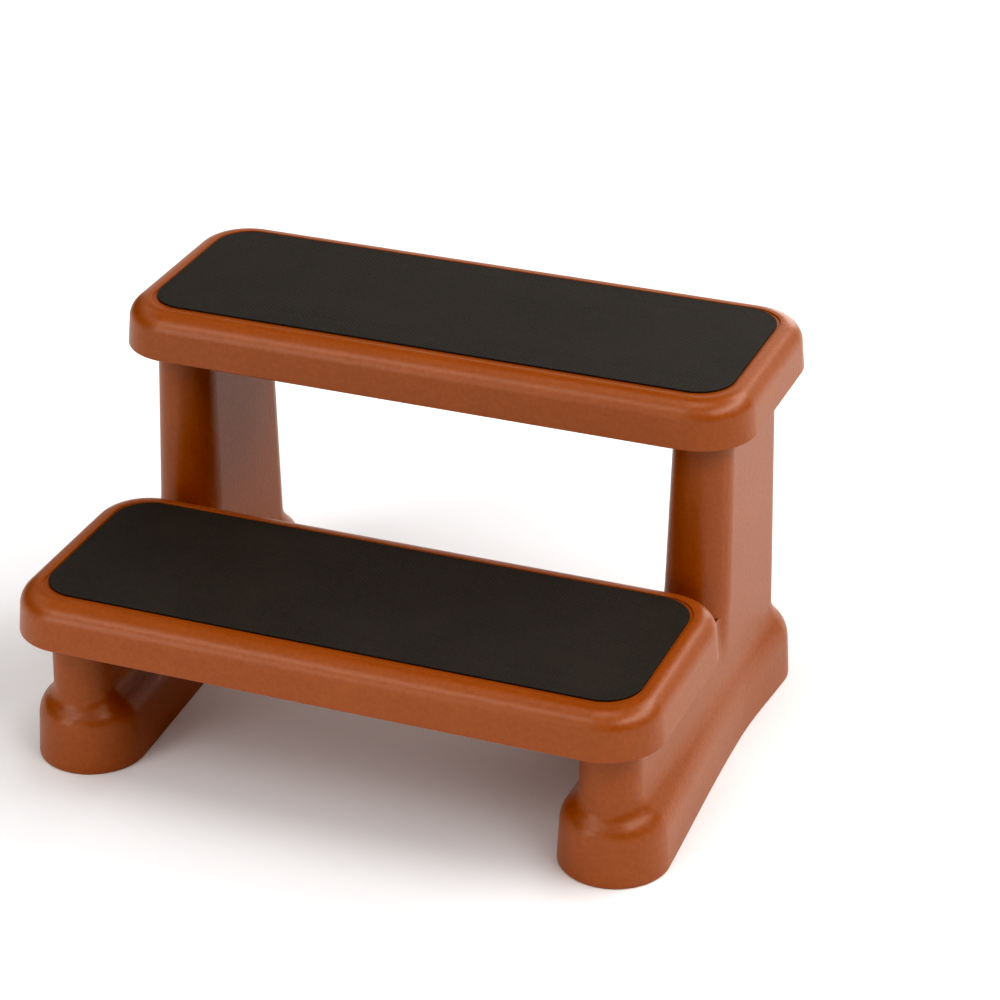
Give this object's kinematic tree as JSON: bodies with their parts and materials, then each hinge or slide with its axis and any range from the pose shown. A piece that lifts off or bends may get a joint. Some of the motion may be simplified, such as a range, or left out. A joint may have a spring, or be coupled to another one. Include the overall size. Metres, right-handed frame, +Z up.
{
  "type": "spa steps",
  "caption": "Two-tread plastic steps for getting into a spa, with hollow moulded side frames and black non-skid pads inset in the treads.",
  "frame": {"origin": "on the floor, under the middle of the whole object's plan", "axes": "+X to the user's right along the treads, +Y from the front (lower tread) to the back (upper tread), +Z up"},
  "size_m": [0.6604, 0.516, 0.3937],
  "materials": {
    "brown_plastic": "satin, fine moulded grain, red-brown",
    "pad_rubber": "matte black with a fine raised weave",
    "screw_steel": "plain stainless"
  },
  "bodies": {
    "root": {"side_frame_left": "brown_plastic", "side_frame_right": "brown_plastic", "tread_lower": "brown_plastic", "tread_upper": "brown_plastic", "tread_pad_lower": "pad_rubber", "tread_pad_upper": "pad_rubber", "screw_lower_left_front": "screw_steel", "screw_lower_left_rear": "screw_steel", "screw_lower_right_front": "screw_steel", "screw_lower_right_rear": "screw_steel", "screw_upper_left_front": "screw_steel", "screw_upper_left_rear": "screw_steel", "screw_upper_right_front": "screw_steel", "screw_upper_right_rear": "screw_steel", "washer_lower_left_front": "screw_steel", "washer_lower_left_rear": "screw_steel", "washer_lower_right_front": "screw_steel", "washer_lower_right_rear": "screw_steel", "washer_upper_left_front": "screw_steel", "washer_upper_left_rear": "screw_steel", "washer_upper_right_front": "screw_steel", "washer_upper_right_rear": "screw_steel"}
  },
  "joints": []
}
